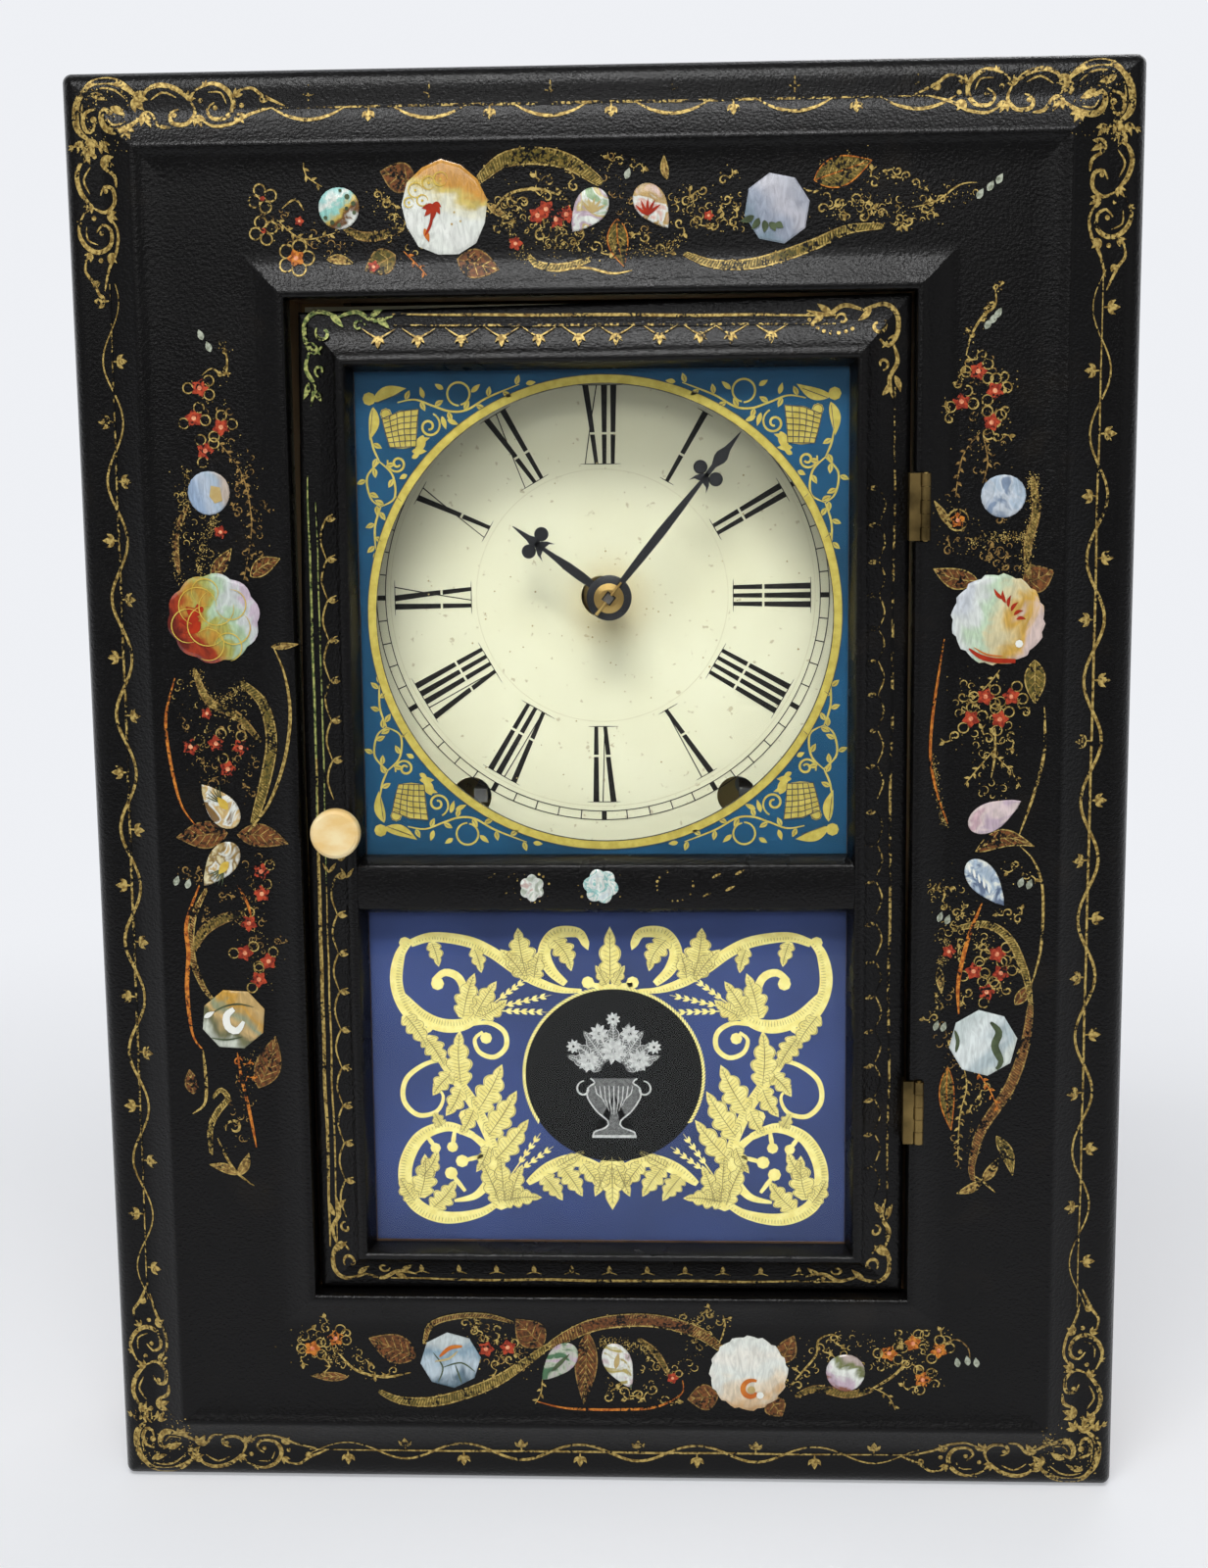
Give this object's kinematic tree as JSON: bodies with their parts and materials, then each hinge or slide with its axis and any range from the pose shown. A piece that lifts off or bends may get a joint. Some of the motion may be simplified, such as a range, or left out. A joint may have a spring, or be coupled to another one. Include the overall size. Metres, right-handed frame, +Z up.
{
  "type": "picture frame clock",
  "caption": "Standing shelf clock in a moulded picture-frame front with pearl inlay, hinged glazed door over a Roman dial and painted tablet, box case and pendulum movement.",
  "frame": {"origin": "the middle of the bottom board, where the clock stands", "axes": "+Z up, the face looks along -Y, +X to the viewer's right"},
  "size_m": [0.322, 0.1184, 0.446],
  "materials": {
    "japanned_paper": "gloss",
    "ground_wood": "matte",
    "pine": "matte",
    "door_lacquer": "gloss",
    "dial_paint": "satin",
    "brass": "satin",
    "hinge_brass": "matte",
    "steel": "satin",
    "blue_steel": "satin",
    "iron": "matte",
    "clear_glass": "gloss",
    "painted_glass": "gloss",
    "pearl": "gloss",
    "knob_bone": "satin"
  },
  "bodies": {
    "case": {"front_shell": "japanned_paper", "front_ground": "ground_wood", "case_left": "pine", "case_right": "pine", "case_top": "pine", "case_bottom": "pine", "back_board": "pine", "back_screws": "steel", "dial_blocks": "pine", "dial_plate": "dial_paint", "dial_screws": "brass", "hinge_case_leaves": "hinge_brass", "hinge_pins": "brass", "hinge_case_screws": "brass", "latch_keeper": "brass", "pearl_inlays": "pearl", "plate_front": "brass", "plate_back": "brass", "pillars": "brass", "plate_nuts": "brass", "movement_rails": "pine", "movement_screws": "steel", "mainsprings": "steel", "suspension_post": "brass", "gong_coil": "steel", "gong_base": "iron"},
    "door": {"door_frame": "door_lacquer", "hinge_door_leaves": "hinge_brass", "hinge_door_screws": "brass", "upper_glass": "clear_glass", "lower_glass": "painted_glass", "glass_beads": "ground_wood", "door_pearls": "pearl", "knob_bush": "brass"},
    "latch": {"door_knob": "knob_bone", "latch_tongue": "brass"},
    "minute": {"minute_hand": "blue_steel", "hand_washer": "brass", "taper_pin": "brass", "centre_arbor": "steel"},
    "hour": {"hour_hand": "blue_steel", "hour_wheel": "brass"},
    "motion": {"motion_wheel": "brass"},
    "time_great": {"time_great_wheel": "brass"},
    "time_winding": {"time_winding_arbor": "steel"},
    "time_second": {"time_second_wheel": "brass"},
    "centre": {"centre_wheel": "brass"},
    "third": {"third_wheel": "brass"},
    "escape": {"escape_wheel": "brass"},
    "verge_and_crutch": {"verge": "steel"},
    "pendulum": {"pendulum_rod": "brass", "pendulum_bob": "brass", "rating_nut": "brass"},
    "strike_great": {"strike_great_wheel": "brass"},
    "strike_winding": {"strike_winding_arbor": "steel"},
    "strike_second": {"strike_second_wheel": "brass"},
    "strike_pin": {"pin_wheel": "brass"},
    "fly": {"strike_fly": "brass"},
    "hammer_body": {"hammer": "steel"}
  },
  "joints": [
    {"name": "door_hinge", "type": "hinge", "parent": "case", "child": "door", "pos_m": [0.0968, -0.0615, 0.223], "axis": [0, 0, 1], "range_deg": [0, 150]},
    {"name": "latch_turn", "type": "hinge", "parent": "door", "child": "latch", "pos_m": [-0.0817, -0.0575, 0.2183], "axis": [0, 1, 0], "range_deg": [0, 90]},
    {"name": "hand_setting", "type": "hinge", "parent": "case", "child": "minute", "pos_m": [0.0016, -0.0475, 0.2879], "axis": [0, 1, 0], "continuous": true},
    {"name": "motion_turn", "type": "hinge", "parent": "case", "child": "motion", "pos_m": [0.0016, -0.0155, 0.2699], "axis": [0, 1, 0], "continuous": true},
    {"name": "hour_turn", "type": "hinge", "parent": "case", "child": "hour", "pos_m": [0.0016, -0.0185, 0.2879], "axis": [0, 1, 0], "continuous": true},
    {"name": "third_turn", "type": "hinge", "parent": "case", "child": "third", "pos_m": [0.01622, 0.0065, 0.31323], "axis": [0, 1, 0], "continuous": true},
    {"name": "centre_turn", "type": "hinge", "parent": "case", "child": "centre", "pos_m": [0.0016, -0.0015, 0.2879], "axis": [0, 1, 0], "continuous": true},
    {"name": "time_second_turn", "type": "hinge", "parent": "case", "child": "time_second", "pos_m": [0.02851, 0.0065, 0.26779], "axis": [0, 1, 0], "continuous": true},
    {"name": "time_great_turn", "type": "hinge", "parent": "case", "child": "time_great", "pos_m": [0.0438, 0.0145, 0.2244], "axis": [0, 1, 0], "continuous": true},
    {"name": "escape_turn", "type": "hinge", "parent": "case", "child": "escape", "pos_m": [-0.00147, 0.0065, 0.32808], "axis": [0, 1, 0], "continuous": true},
    {"name": "time_winding_turn", "type": "hinge", "parent": "case", "child": "time_winding", "pos_m": [0.0438, 0.0025, 0.2244], "axis": [0, 1, 0], "continuous": true},
    {"name": "pendulum_swing", "type": "hinge", "parent": "case", "child": "pendulum", "pos_m": [0.0016, -0.0235, 0.35008], "axis": [0, 1, 0], "range_deg": [-3, 3]},
    {"name": "verge_swing", "type": "hinge", "parent": "case", "child": "verge_and_crutch", "pos_m": [0.0016, -0.0165, 0.35008], "axis": [0, 1, 0], "range_deg": [-3, 3]},
    {"name": "pin_wheel_turn", "type": "hinge", "parent": "case", "child": "strike_pin", "pos_m": [-0.03385, 0.0065, 0.30161], "axis": [0, 1, 0], "continuous": true},
    {"name": "strike_second_turn", "type": "hinge", "parent": "case", "child": "strike_second", "pos_m": [-0.03659, 0.0065, 0.27022], "axis": [0, 1, 0], "continuous": true},
    {"name": "strike_great_turn", "type": "hinge", "parent": "case", "child": "strike_great", "pos_m": [-0.0406, 0.0145, 0.2244], "axis": [0, 1, 0], "continuous": true},
    {"name": "fly_turn", "type": "hinge", "parent": "case", "child": "fly", "pos_m": [-0.02787, 0.0065, 0.32392], "axis": [0, 1, 0], "continuous": true},
    {"name": "strike_winding_turn", "type": "hinge", "parent": "case", "child": "strike_winding", "pos_m": [-0.0406, 0.0025, 0.2244], "axis": [0, 1, 0], "continuous": true},
    {"name": "hammer_swing", "type": "hinge", "parent": "case", "child": "hammer_body", "pos_m": [-0.0104, 0.0065, 0.2529], "axis": [0, -1, 0], "range_deg": [0, 9]}
  ],
  "couplings": [
    {"joint": "motion_turn", "follows": "hand_setting", "ratio": -0.33333},
    {"joint": "hour_turn", "follows": "hand_setting", "ratio": 0.083333},
    {"joint": "centre_turn", "follows": "third_turn", "ratio": -0.083333},
    {"joint": "time_second_turn", "follows": "third_turn", "ratio": 0.027778},
    {"joint": "time_great_turn", "follows": "third_turn", "ratio": -0.0069444},
    {"joint": "escape_turn", "follows": "third_turn", "ratio": -10},
    {"joint": "verge_swing", "follows": "pendulum_swing", "ratio": 1},
    {"joint": "strike_second_turn", "follows": "pin_wheel_turn", "ratio": -0.25},
    {"joint": "strike_great_turn", "follows": "pin_wheel_turn", "ratio": 0.0625},
    {"joint": "fly_turn", "follows": "pin_wheel_turn", "ratio": -10}
  ]
}
